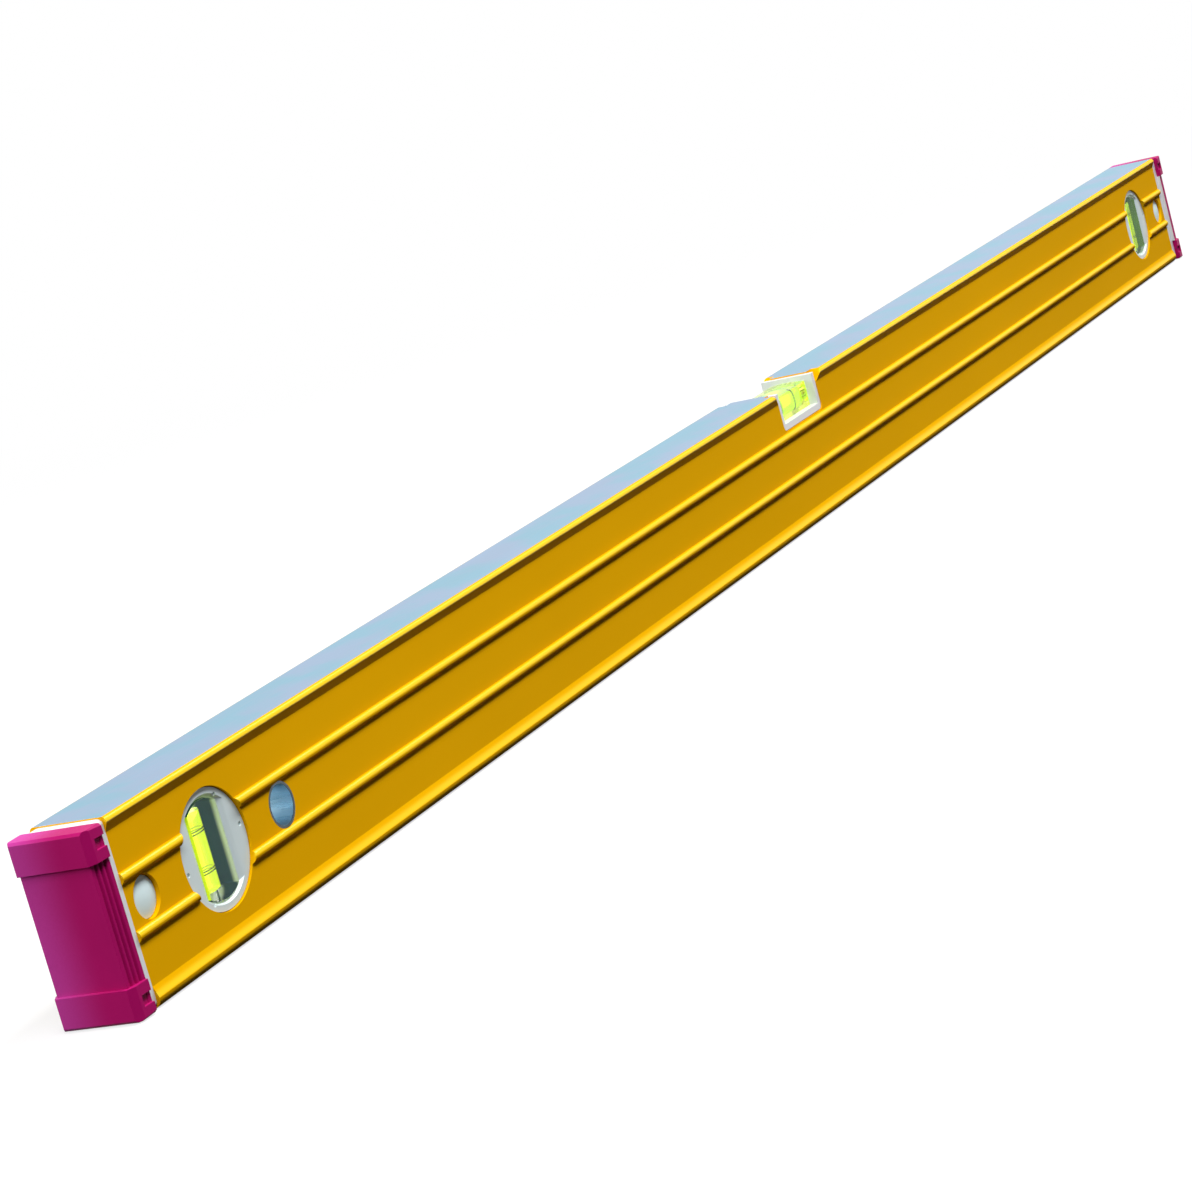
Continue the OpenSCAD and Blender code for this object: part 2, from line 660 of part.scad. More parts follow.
end_of(1) cap_bumper();  // cap_right_bumper
end_of(1) front() catch_tongue();  // cap_right_front_catch
end_of(1) catch_tongue();  // cap_right_back_catch
end_of(1) front() catch_pad();  // cap_right_front_pad
end_of(1) catch_pad();  // cap_right_back_pad
translate([-magnet_out, 0, 0]) magnet();  // magnet_1
translate([-magnet_in, 0, 0]) magnet();  // magnet_2
translate([magnet_in, 0, 0]) magnet();  // magnet_3
translate([magnet_out, 0, 0]) magnet();  // magnet_4
translate([-magnet_out, 0, 0]) magnet_tray();  // magnet_tray_1
translate([-magnet_in, 0, 0]) magnet_tray();  // magnet_tray_2
translate([magnet_in, 0, 0]) magnet_tray();  // magnet_tray_3
translate([magnet_out, 0, 0]) magnet_tray();  // magnet_tray_4
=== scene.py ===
"""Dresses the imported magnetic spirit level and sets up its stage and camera."""

import math

import bmesh
import bpy
from bpy.props import FloatProperty, FloatVectorProperty, PointerProperty
from mathutils import Matrix, Vector


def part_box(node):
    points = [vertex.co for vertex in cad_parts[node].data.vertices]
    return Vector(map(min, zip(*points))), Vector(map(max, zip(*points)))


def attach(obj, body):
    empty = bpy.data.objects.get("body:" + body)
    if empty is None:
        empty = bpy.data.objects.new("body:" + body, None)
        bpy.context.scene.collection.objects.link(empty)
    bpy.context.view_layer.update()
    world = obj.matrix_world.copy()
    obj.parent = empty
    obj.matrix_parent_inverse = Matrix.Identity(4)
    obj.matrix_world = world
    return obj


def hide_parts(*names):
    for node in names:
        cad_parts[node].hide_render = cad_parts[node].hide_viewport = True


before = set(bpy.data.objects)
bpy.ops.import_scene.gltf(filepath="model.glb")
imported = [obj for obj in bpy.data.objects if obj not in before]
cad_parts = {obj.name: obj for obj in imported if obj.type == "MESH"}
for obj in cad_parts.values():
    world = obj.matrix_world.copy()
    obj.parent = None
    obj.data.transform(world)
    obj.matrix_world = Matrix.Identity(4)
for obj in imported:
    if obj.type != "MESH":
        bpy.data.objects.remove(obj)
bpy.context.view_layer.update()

bl_info = {
    "name": "Magnetic Spirit Level",
    "version": (1, 0, 0),
    "blender": (4, 5, 0),
    "location": "3D View > Sidebar > Level",
    "description": "Finishes for a box-section level with clear vials and rubber end caps",
    "category": "Object",
}

PROFILE_LOW, PROFILE_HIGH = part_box("profile")
ENDS = ("left", "right")
FACES = ("front", "back")
MAGNETS = ("1", "2", "3", "4")

# Upper part of each proud edge by its height above the bottom face, where the coat carries a painted
# highlight: lower lip, two ribs, upper lip
HIGHLIGHT_BANDS = ((0.0036, 0.0082), (0.0237, 0.0256), (0.0427, 0.0446), (0.0610, 0.0640))
# Half the height over which such a band starts and ends
HIGHLIGHT_FADE = 0.0003

# Each pair holds the depths below a face at which a finish starts and is complete:
# the painted highlight on the proud edges below the lips, the bare metal below the bottom and top faces,
# the painted shade and painted glow on the sides of a plumb block,
# and the painted shade on the rim of the hanging sleeve
HIGHLIGHT_START, HIGHLIGHT_FULL = 0.0012, 0.0004
BARE_START, BARE_FULL = 0.00006, 0.00002
SIDE_SHADE_AND_GLOW_START, SIDE_SHADE_AND_GLOW_FULL = 0.00004, 0.00001
SHADED_RIM_START, SHADED_RIM_FULL = 0.0003, 0.0001
# Distances from the middle plane at which the painted shade on the side of a plumb block starts and ends to
# turn paler
PALE_START, PALE_FULL = 0.0055, 0.0100
# Places across the thickness between which a painted reflection comes in on the rubber
PAINTED_SHEEN_START, PAINTED_SHEEN_FULL = -0.006, 0.016
# How fine the marks on bare metal are along x, y and z
MILL_STREAKS = (14.0, 900.0, 20.0)
SLEEVE_LINES = (90.0, 25.0, 300.0)
MAGNET_LINES = (30.0, 700.0, 700.0)

# Share of the right plumb block that light crosses without being bent or mirrored
STILL_SHARE = 0.55
BLOCK_TINT = (0.97, 1.0, 0.98)
BLOCK_MIRROR_TINT = (0.1, 0.35, 0.35)
LEVEL_BLOCK_TINT = (0.92, 1.0, 0.11)
INK, THIN_INK = (0.004, 0.005, 0.004), (0.012, 0.014, 0.010)
# Emission strengths: painted glow that makes the liquids, one side of each plumb block and the bubbles shine
# without a lamp
LIQUID_GLOW = 0.40
PAINTED_GLOW_STRENGTH = 0.25
BUBBLE_GLOW = 0.55

# Angles between two faces that are joined as flat, rounded as sharp and shaded as an edge
FLAT_ANGLE = 0.01
SHARP_ANGLE = math.radians(28)
CREASE_ANGLE = math.radians(32)
COAT_SHARP_ANGLE = math.radians(50)
COAT_CREASE_ANGLE = math.radians(16)
RUBBER_SHARP_ANGLE = math.radians(15)
MERGE_DISTANCE = 1e-6
ROD_SIDES = 72

SENSOR_WIDTH = 36.0
CLIP_START, CLIP_END = 0.01, 200.0
# Widths and heights of the lamps, and the points that they face
KEY_SIZE, BACK_SIZE, FILL_SIZE = (4.5, 0.5), (2.4, 0.5), (0.9, 0.9)
LEVEL_MIDDLE = (0.0, 0.0, 0.03)
LEFT_END = (-0.6, 0.0, 0.03)
# Distances from the middle of the level between which the floor turns plain white
PAPER_START, PAPER_FULL = 0.3, 1.4
# Share of plain white in the floor near the level, where the rest shows its shadow
PAPER_SHARE = 0.7
SEEN_RAYS = ("Is Camera Ray", "Is Glossy Ray", "Is Transmission Ray")
SKY_TINT = (0.93, 0.96, 1.0)


def colour(label, text, value):
    return FloatVectorProperty(
        name=label, description=text, subtype="COLOR", size=3, min=0.0, max=1.0, default=value,
    )


def length(label, text, value):
    return FloatProperty(
        name=label, description=text, unit="LENGTH", subtype="DISTANCE", default=value, precision=5,
    )


def point(label, text, value):
    return FloatVectorProperty(name=label, description=text, subtype="XYZ", size=3, default=value)


def power(label, text, value):
    return FloatProperty(name=label, description=text, subtype="POWER", min=0.0, default=value)


class LevelColours(bpy.types.PropertyGroup):
    """Colours of the finishes"""

    mustard: colour("Mustard", "Powder coat on the profile", (0.85, 0.425, 0.0006))
    # Painted highlight: a lighter, yellower coat on the upper parts of lips and ribs
    highlit: colour("Highlit Mustard", "Coat on the upper parts of lips and ribs", (0.96, 0.64, 0.004))
    milled: colour("Milled", "Bare metal of the measuring faces", (0.22, 0.43, 0.55))
    milled_haze: colour("Milled Haze", "Cloudy tone in that metal", (0.31, 0.40, 0.56))
    white: colour("White", "Moulded plastic of housing and caps", (0.74, 0.76, 0.79))
    bubble: colour("Bubble", "Bubbles in the liquid", (0.78, 1.0, 0.55))
    bezel: colour("Bezel", "Moulded plastic of the bezels", (0.62, 0.72, 0.73))
    # Painted shade on the right sides of the clear plumb blocks, paler in strips near their faces
    teal_shade: colour("Teal", "Dark side of the left plumb block", (0.002, 0.036, 0.078))
    pale_teal_shade: colour("Pale Teal", "Outer strips of that side", (0.72, 0.75, 1.0))
    bottle_shade: colour("Bottle Green", "Dark side of the right plumb block", (0.03, 0.12, 0.001))
    pale_bottle_shade: colour("Pale Bottle Green", "Outer strips of that side", (0.10, 0.22, 0.010))
    # Slate is the magnet trays' own colour and painted shade on the vial carriers
    slate: colour("Slate", "Dark plastic inside and round the magnets", (0.03, 0.055, 0.065))
    magenta: colour("Magenta", "Rubber of the bumpers", (0.46, 0.004, 0.135))
    # Painted reflection: paler, purpler rubber towards the back edge
    painted_sheen: colour("Sheen Magenta", "Rubber towards the back edge", (0.64, 0.07, 0.44))
    pad: colour("Pad", "Soft plastic of the catch pads", (0.74, 0.90, 0.92))
    lime: colour("Lime", "Liquid of the plumb vials", (0.80, 1.0, 0.03))
    level_lime: colour("Level Lime", "Liquid of the level vial", (0.64, 1.0, 0.004))
    steel: colour("Steel", "Magnets", (0.60, 0.67, 0.75))
    sleeve: colour("Sleeve", "Metal of the hanging sleeve", (0.58, 0.76, 0.87))


class LevelSizes(bpy.types.PropertyGroup):
    """Sizes that the visual pieces add to the solids"""

    bumper_edge: length("Bumper Edge", "Rounding of the rubber edges", 0.0006)
    plastic_edge: length("Plastic Edge", "Rounding of moulded edges", 0.00025)
    paint_edge: length("Paint Edge", "Rounding of coated edges", 0.0002)
    rod_edge: length("Rod Edge", "Rounding at the ends of the liquids", 0.0003)
    wetting: length("Wetting", "How far a liquid reaches into the wall of its bore", 0.00003)
    mill_step: length("Mill Step", "Distance of the milling marks", 0.0008)
    mill_reach: length("Mill Reach", "Radius of the milling arcs", 0.045)


class LevelStage(bpy.types.PropertyGroup):
    """Camera, floor and lamps"""

    camera_at: point("Camera", "Place of the camera", (-1.47194, -0.65359, 0.28298))
    camera_aim: point("Aim", "Point in the middle of the picture", (-0.07562, 0.07359, -0.00251))
    camera_roll: FloatProperty(
        name="Roll", description="Turn of the camera about its view",
        subtype="ANGLE", default=math.radians(-15.34),
    )
    lens: FloatProperty(
        name="Lens", description="Focal length for a 36 mm sensor",
        subtype="DISTANCE_CAMERA", default=108.35,
    )
    floor_size: length("Floor", "Side of the floor", 60.0)
    sky: FloatProperty(name="Sky", description="Strength of the light from all round", min=0.0, default=0.09)
    key: power("Key", "Power of the long lamp above the front", 101.0)
    key_at: point("Key Place", "Middle of that lamp", (0.0, -0.84, 1.84))
    back: power("Back", "Power of the lamp behind the level", 40.0)
    back_at: point("Back Place", "Middle of that lamp", (-1.1, 2.0, 0.8))
    fill: power("Fill", "Power of the lamp beyond the left end", 5.5)
    fill_at: point("Fill Place", "Middle of that lamp", (-2.0, 0.1, 0.8))


class Wire:
    """An output socket whose arithmetic adds Math nodes"""

    def __init__(self, finish, socket):
        self.finish = finish
        self.socket = socket

    def maths(self, operation, *values):
        return self.finish.add("ShaderNodeMath", {"operation": operation}, dict(enumerate(values)))

    def __add__(self, other):
        return self.maths("ADD", self, other)

    def __radd__(self, other):
        return self.maths("ADD", other, self)

    def __sub__(self, other):
        return self.maths("SUBTRACT", self, other)

    def __rsub__(self, other):
        return self.maths("SUBTRACT", other, self)

    def __mul__(self, other):
        return self.maths("MULTIPLY", self, other)

    def __rmul__(self, other):
        return self.maths("MULTIPLY", other, self)

    def __truediv__(self, other):
        return self.maths("DIVIDE", self, other)

    def __rtruediv__(self, other):
        return self.maths("DIVIDE", other, self)

    def __neg__(self):
        return self.maths("MULTIPLY", self, -1.0)

    def __abs__(self):
        return self.maths("ABSOLUTE", self)

    def sign(self):
        return self.maths("SIGN", self)

    def sine(self):
        return self.maths("SINE", self)

    def least(self, other):
        return self.maths("MINIMUM", self, other)

    def between(self, low, high):
        """0 below low, 1 above high, smooth between them"""
        return self.finish.add(
            "ShaderNodeMapRange",
            {"interpolation_type": "SMOOTHSTEP"},
            {"Value": self, "From Min": low, "From Max": high},
        )

    def band(self, low, high, soft):
        """1 from low to high, 0 outside"""
        return self.between(low - soft, low + soft) * (1 - self.between(high - soft, high + soft))


class Finish:
    """A material or world whose nodes are all made by add"""

    def __init__(self, owner):
        owner.use_nodes = True
        self.owner = owner
        self.tree = owner.node_tree
        self.tree.nodes.clear()
        self.place = None

    def add(self, kind, settings=None, inputs=None, output=0):
        """Adds a node with its settings and the values or links of its sockets, and returns one output"""
        node = self.tree.nodes.new(kind)
        for name, value in (settings or {}).items():
            setattr(node, name, value)
        for name, value in (inputs or {}).items():
            if isinstance(value, Wire):
                self.tree.links.new(value.socket, node.inputs[name])
            else:
                node.inputs[name].default_value = value
        return Wire(self, node.outputs[output]) if node.outputs else None

    def coordinates(self):
        if self.place is None:
            self.place = self.add("ShaderNodeTexCoord", output="Object")
        return self.place

    def axes(self):
        split = self.add("ShaderNodeSeparateXYZ", inputs={"Vector": self.coordinates()})
        return [Wire(self, socket) for socket in split.socket.node.outputs]

    def stretched(self, scale):
        return self.add("ShaderNodeVectorMath", {"operation": "MULTIPLY"}, {0: self.coordinates(), 1: scale})

    def noise(self, scale, detail, vector=None):
        inputs = {"Vector": vector or self.coordinates(), "Scale": scale, "Detail": detail, "Roughness": 0.55}
        return self.add("ShaderNodeTexNoise", inputs=inputs)

    def blend(self, factor, first, second):
        """Mixes two colours"""
        return self.add("ShaderNodeMix", {"data_type": "RGBA"}, {0: factor, 6: first, 7: second}, output=2)

    def layer(self, factor, first, second):
        """Mixes two shaders"""
        return self.add("ShaderNodeMixShader", inputs={0: factor, 1: first, 2: second})

    def bump(self, height, depth, strength):
        return self.add("ShaderNodeBump", inputs={"Height": height, "Distance": depth, "Strength": strength})

    def seen(self):
        """1 for the rays that show a surface to the camera, 0 for those that light with it"""
        path = self.add("ShaderNodeLightPath").socket.node
        return sum(Wire(self, path.outputs[name]) for name in SEEN_RAYS).least(1.0)

    def surface(self, inputs):
        return self.show(self.add("ShaderNodeBsdfPrincipled", inputs=inputs))

    def show(self, shader, target="ShaderNodeOutputMaterial"):
        self.add(target, inputs={"Surface": shader})
        return self.owner


def finish_named(name):
    return Finish(bpy.data.materials.new(name))


def rgba(shade, gain=1.0):
    return tuple(min(1.0, part * gain) for part in shade) + (1.0,)


def grey(tone):
    return (tone, tone, tone, 1.0)


def mustard_powder_coat(colours, sizes):
    """Powder coat with a painted highlight on the upper parts of lips and ribs, and milled metal on the
    bottom and top faces
    """
    coat = finish_named("mustard_powder_coat")
    x, y, z = coat.axes()
    middle = (PROFILE_LOW.z + PROFILE_HIGH.z) / 2
    half = PROFILE_HIGH.z - middle
    bare = abs(z - middle).between(half - BARE_START, half - BARE_FULL)
    painted = 1 - bare
    proud = abs(y).between(PROFILE_HIGH.y - HIGHLIGHT_START, PROFILE_HIGH.y - HIGHLIGHT_FULL)
    highlit = proud * sum(z.band(low, high, HIGHLIGHT_FADE) for low, high in HIGHLIGHT_BANDS)

    cloud = coat.noise(scale=6.0, detail=3.0)
    grain = coat.noise(scale=2600.0, detail=2.0)
    peel = coat.noise(scale=620.0, detail=2.0)
    paint = coat.blend(cloud, rgba(colours.mustard, gain=0.93), rgba(colours.mustard, gain=1.06))
    paint = coat.blend(grain * 0.10, paint, rgba(colours.mustard, gain=0.75))
    # Painted highlight: the upper parts of lips and ribs turn paler and yellower
    paint = coat.blend(highlit * 0.85, paint, rgba(colours.highlit))

    arcs = ((x + y * y / (2 * sizes.mill_reach)) * (2 * math.pi / sizes.mill_step)).sine()
    streaks = coat.noise(scale=1.0, detail=4.0, vector=coat.stretched(MILL_STREAKS))
    haze = coat.noise(scale=30.0, detail=3.0).between(0.38, 0.62)
    metal = coat.blend(haze, rgba(colours.milled), rgba(colours.milled_haze))
    metal = coat.blend(streaks * 0.3, metal, rgba(colours.milled, gain=1.35))
    metal = coat.blend(arcs * 0.04 + 0.04, metal, rgba(colours.milled, gain=0.7))

    relief = painted * (peel * 0.7 + grain * 0.15) + bare * (arcs * 0.12 + streaks * 0.4)
    return coat.surface({
        "Base Color": coat.blend(bare, paint, metal),
        "Metallic": bare,
        "Roughness": painted * (0.40 + grain * 0.08) + bare * (0.34 + streaks * 0.14),
        "Specular IOR Level": 0.0,
        # Painted highlight in gloss: the coat is glossier on the same upper parts
        "Coat Weight": painted * (highlit * 0.45 + 0.03),
        "Coat Roughness": 0.25,
        "Normal": coat.bump(relief, depth=0.00003, strength=0.6),
    })


def moulded_plastic(name, shade, roughness=0.36, grain_size=1700.0, depth=0.00001, coat_weight=0.0):
    plastic = finish_named(name)
    grain = plastic.noise(scale=grain_size, detail=2.0)
    cloud = plastic.noise(scale=28.0, detail=2.0)
    tone = plastic.blend(cloud, rgba(shade, gain=0.94), rgba(shade, gain=1.04))
    return plastic.surface({
        "Base Color": plastic.blend(grain * 0.12, tone, rgba(shade, gain=0.86)),
        "Roughness": roughness - 0.05 + grain * 0.10,
        "Coat Weight": coat_weight,
        "Coat Roughness": 0.12,
        "Normal": plastic.bump(grain, depth, strength=0.8),
    })


def bumper_rubber(colours):
    """Grained rubber with a painted reflection that makes it paler and purpler towards the back"""
    rubber = finish_named("magenta_bumper_rubber")
    _, y, _ = rubber.axes()
    grain = rubber.noise(scale=1400.0, detail=3.0)
    mould = rubber.noise(scale=170.0, detail=3.0)
    cloud = rubber.noise(scale=40.0, detail=2.0)
    # Painted reflection: the rubber turns paler and purpler towards the back
    painted_sheen = y.between(PAINTED_SHEEN_START, PAINTED_SHEEN_FULL) * 0.8
    shade = rubber.blend(painted_sheen, rgba(colours.magenta), rgba(colours.painted_sheen))
    tone = rubber.blend(cloud * 0.24, shade, rgba(colours.magenta, gain=0.3))
    return rubber.surface({
        "Base Color": rubber.blend(grain * 0.25, tone, rgba(colours.magenta, gain=0.6)),
        "Roughness": 0.42 + grain * 0.14,
        "Specular IOR Level": 0.08,
        "Normal": rubber.bump(mould * 0.7 + grain * 0.3, depth=0.00008, strength=0.7),
    })


def turned_steel(name, shade, lines, shaded_rim=None):
    """Turned or ground metal with painted shade, darker near its rim at the given distance from the middle
    plane
    """
    steel = finish_named(name)
    turning = steel.noise(scale=1.0, detail=3.0, vector=steel.stretched(lines))
    cloud = steel.noise(scale=160.0, detail=2.0)
    tone = steel.blend(turning, rgba(shade, gain=0.74), rgba(shade, gain=1.16))
    tone = steel.blend(cloud * 0.2, tone, rgba(shade, gain=0.6))
    if shaded_rim:
        _, y, _ = steel.axes()
        # Painted shade: the metal turns nearly black near its rim, where the gap round the sleeve lies in
        # shade
        tone = steel.blend(abs(y).between(shaded_rim - SHADED_RIM_START, shaded_rim - SHADED_RIM_FULL), tone, rgba(shade, gain=0.12))
    return steel.surface({
        "Base Color": tone,
        "Metallic": 1.0,
        "Roughness": 0.20 + turning * 0.16,
        "Normal": steel.bump(turning, depth=0.00002, strength=0.7),
    })


def acrylic_body(acrylic, tint, specular, mirror_tint=(1.0, 1.0, 1.0)):
    """Shader of clear acrylic with faintly rippled faces"""
    ripple = acrylic.noise(scale=90.0, detail=1.0)
    return acrylic.add("ShaderNodeBsdfPrincipled", inputs={
        "Base Color": rgba(tint),
        "Roughness": 0.01,
        "IOR": 1.49,
        "Transmission Weight": 1.0,
        "Specular IOR Level": specular,
        "Specular Tint": rgba(mirror_tint),
        "Normal": acrylic.bump(ripple, depth=0.00002, strength=0.25),
    })


def clear_acrylic(name, tint):
    acrylic = finish_named(name)
    return acrylic.show(acrylic_body(acrylic, tint, specular=0.25))


def backed_acrylic(name, colours):
    """Clear acrylic with painted shade on the side towards the right end of the level, paler in strips near
    its faces, and a painted glow on the other side
    """
    acrylic = finish_named(name)
    low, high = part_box("plumb_right_block")
    half, centre = (high.x - low.x) / 2, (high.x + low.x) / 2
    x, y, _ = acrylic.axes()
    at_right = x.between(-centre / 2, centre / 2)
    towards_right = (abs(x) - centre) * x.sign()
    # Painted shade on the side towards the right end, painted glow on the other side
    painted_shade_side = towards_right.between(half - SIDE_SHADE_AND_GLOW_START, half - SIDE_SHADE_AND_GLOW_FULL)
    painted_glow_side = (-towards_right).between(half - SIDE_SHADE_AND_GLOW_START, half - SIDE_SHADE_AND_GLOW_FULL)
    outer = abs(y).between(PALE_START, PALE_FULL)
    grain = acrylic.noise(scale=900.0, detail=2.0)

    bent = acrylic_body(acrylic, BLOCK_TINT, specular=0.2, mirror_tint=BLOCK_MIRROR_TINT)
    still = acrylic.add("ShaderNodeBsdfTransparent", inputs={"Color": rgba(BLOCK_TINT)})
    clear = acrylic.layer(at_right * STILL_SHARE, bent, still)

    # Painted shade, paler in strips near the front and back faces
    teal_shade = acrylic.blend(outer, rgba(colours.teal_shade), rgba(colours.pale_teal_shade))
    green = acrylic.blend(outer, rgba(colours.bottle_shade), rgba(colours.pale_bottle_shade))
    dark = acrylic.blend(at_right, teal_shade, green)
    paint = acrylic.add("ShaderNodeBsdfPrincipled", inputs={
        "Base Color": acrylic.blend(grain * 0.2, dark, rgba(colours.teal_shade, gain=0.5)),
        "Roughness": 0.8,
        "Specular IOR Level": 0.0,
    })
    # Painted glow: the other side shines lime though no lamp lights it
    painted_glow = acrylic.add("ShaderNodeBsdfPrincipled", inputs={
        "Base Color": acrylic.blend(grain * 0.1, rgba(colours.lime), rgba(colours.lime, gain=0.8)),
        "Roughness": 0.5,
        "Specular IOR Level": 0.1,
        "Emission Color": rgba(colours.lime),
        "Emission Strength": PAINTED_GLOW_STRENGTH,
    })
    return acrylic.show(acrylic.layer(painted_glow_side, acrylic.layer(painted_shade_side, clear, paint), painted_glow))


def vial_liquid(name, shade):
    liquid = finish_named(name)
    swirl = liquid.noise(scale=60.0, detail=2.0)
    return liquid.surface({
        "Base Color": liquid.blend(swirl, rgba(shade, gain=0.96), rgba(shade)),
        "Roughness": 0.0,
        "IOR": 1.36,
        "Transmission Weight": 0.75,
        # Painted glow: the liquid shines in its own colour
        "Emission Color": rgba(shade),
        "Emission Strength": LIQUID_GLOW,
    })


def vial_bubble(colours):
    bubble = finish_named("vial_bubble")
    film = bubble.noise(scale=500.0, detail=1.0)
    return bubble.surface({
        "Base Color": bubble.blend(film, rgba(colours.bubble, gain=0.94), rgba(colours.bubble)),
        "Roughness": 0.03,
        "IOR": 1.1,
        "Transmission Weight": 0.5,
        # Painted glow: the bubble shines in its own colour
        "Emission Color": rgba(colours.bubble),
        "Emission Strength": BUBBLE_GLOW,
    })


def line_ink():
    ink = finish_named("vial_line_ink")
    edge = ink.noise(scale=3000.0, detail=2.0)
    return ink.surface({
        "Base Color": ink.blend(edge, rgba(INK), rgba(THIN_INK)),
        "Roughness": 0.35 + edge * 0.2,
    })


def dress(node, material):
    """Gives a CAD node its finish; the shape stays as packed"""
    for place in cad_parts[node].material_slots:
        place.material = material


def piece_from(bm, name, body, material, nodes, crease=CREASE_ANGLE):
    """Makes a finished piece out of a bmesh and lets it stand for CAD nodes"""
    for face in bm.faces:
        face.smooth = True
        face.material_index = 0
    for edge in bm.edges:
        edge.smooth = not edge.is_manifold or edge.calc_face_angle() < crease
    mesh = bpy.data.meshes.new(name)
    bm.to_mesh(mesh)
    bm.free()
    if "custom_normal" in mesh.attributes:
        mesh.attributes.remove(mesh.attributes["custom_normal"])
    mesh.materials.append(material)
    piece = bpy.data.objects.new(name, mesh)
    bpy.context.scene.collection.objects.link(piece)
    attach(piece, body)
    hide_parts(*nodes)
    shading = piece.modifiers.new("even_shading", "WEIGHTED_NORMAL")
    shading.mode = "FACE_AREA"
    shading.weight = 100
    shading.keep_sharp = True
    return piece


def softened(node, edge_width, segments=2, sharp=SHARP_ANGLE):
    """A merged copy of a CAD node's mesh with its sharp edges rounded"""
    bm = bmesh.new()
    bm.from_mesh(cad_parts[node].data)
    bmesh.ops.remove_doubles(bm, verts=bm.verts, dist=MERGE_DISTANCE)
    bmesh.ops.dissolve_limit(bm, angle_limit=FLAT_ANGLE, verts=bm.verts, edges=bm.edges)
    hard = [edge for edge in bm.edges if edge.is_manifold and edge.calc_face_angle() > sharp]
    bmesh.ops.bevel(
        bm, geom=hard, offset=edge_width, offset_type="OFFSET", affect="EDGES",
        segments=segments, profile=0.5, clamp_overlap=True, material=-1,
    )
    bmesh.ops.recalc_face_normals(bm, faces=bm.faces)
    return bm


def liquid_rod(radius, low, high, turn, edge_width):
    """A closed rod of liquid from low to high, turned from upright onto its own axis"""
    bm = bmesh.new()
    depth = (high - low).length
    bmesh.ops.create_cone(
        bm, cap_ends=True, segments=ROD_SIDES, radius1=radius, radius2=radius, depth=depth,
    )
    rims = [edge for edge in bm.edges if edge.calc_face_angle() > SHARP_ANGLE]
    bmesh.ops.bevel(bm, geom=rims, offset=edge_width, affect="EDGES", segments=2, profile=0.5, material=-1)
    bmesh.ops.rotate(bm, verts=bm.verts, cent=(0, 0, 0), matrix=turn)
    bmesh.ops.translate(bm, verts=bm.verts, vec=(low + high) / 2)
    return bm


class LEVEL_OT_dress_profile(bpy.types.Operator):
    """Coat the profile, leave its measuring faces milled and finish the hanging sleeve"""

    bl_idname = "level.dress_profile"
    bl_label = "Profile"

    def execute(self, context):
        colours, sizes = context.scene.level_colours, context.scene.level_sizes
        coat = mustard_powder_coat(colours, sizes)
        bm = softened("profile", sizes.paint_edge, sharp=COAT_SHARP_ANGLE)
        nodes = ["profile"]
        piece_from(bm, "coated_profile", "level_body", coat, nodes, COAT_CREASE_ANGLE)
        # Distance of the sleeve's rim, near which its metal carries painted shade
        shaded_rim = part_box("hanging_sleeve")[1].y
        steel = turned_steel("hanging_sleeve_steel", colours.sleeve, SLEEVE_LINES, shaded_rim)
        dress("hanging_sleeve", steel)
        return {"FINISHED"}


class LEVEL_OT_dress_plumb_vials(bpy.types.Operator):
    """Finish the bezels, carriers, clear blocks, liquids and bubbles of the plumb vials"""

    bl_idname = "level.dress_plumb_vials"
    bl_label = "Plumb Vials"

    def execute(self, context):
        colours, sizes = context.scene.level_colours, context.scene.level_sizes
        bezel = moulded_plastic("bezel_plastic", colours.bezel, coat_weight=0.15)
        liquid = vial_liquid("lime_plumb_liquid", colours.lime)
        finishes = {
            # Painted shade: the carriers inside the vial openings get a dark colour that stands in for the
            # shade there
            "carrier": moulded_plastic("carrier_shade_plastic", colours.slate, roughness=0.45, grain_size=1200.0),
            "block": backed_acrylic("plumb_block_acrylic", colours),
            "bubble": vial_bubble(colours),
            "plug": moulded_plastic("plumb_plug_plastic", colours.white, roughness=0.4, grain_size=2200.0),
            "lines": line_ink(),
        }
        for end in ENDS:
            stem = "plumb_" + end
            for face in FACES:
                bm = softened(f"{stem}_{face}_bezel", sizes.plastic_edge)
                ring, nodes = f"{stem}_{face}_ring", [f"{stem}_{face}_bezel"]
                piece_from(bm, ring, "level_body", bezel, nodes)
            for part, material in finishes.items():
                dress(f"{stem}_{part}", material)
            low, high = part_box(stem + "_liquid")
            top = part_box(stem + "_bubble")[1].z
            centre = (low.x + high.x) / 2
            radius = centre - low.x + sizes.wetting
            start = Vector((centre, 0.0, low.z - sizes.wetting))
            stop = Vector((centre, 0.0, top + sizes.rod_edge + sizes.wetting))
            bm = liquid_rod(radius, start, stop, Matrix.Identity(3), sizes.rod_edge)
            piece_from(bm, stem + "_lime_rod", "level_body", liquid, [stem + "_liquid"])
        return {"FINISHED"}


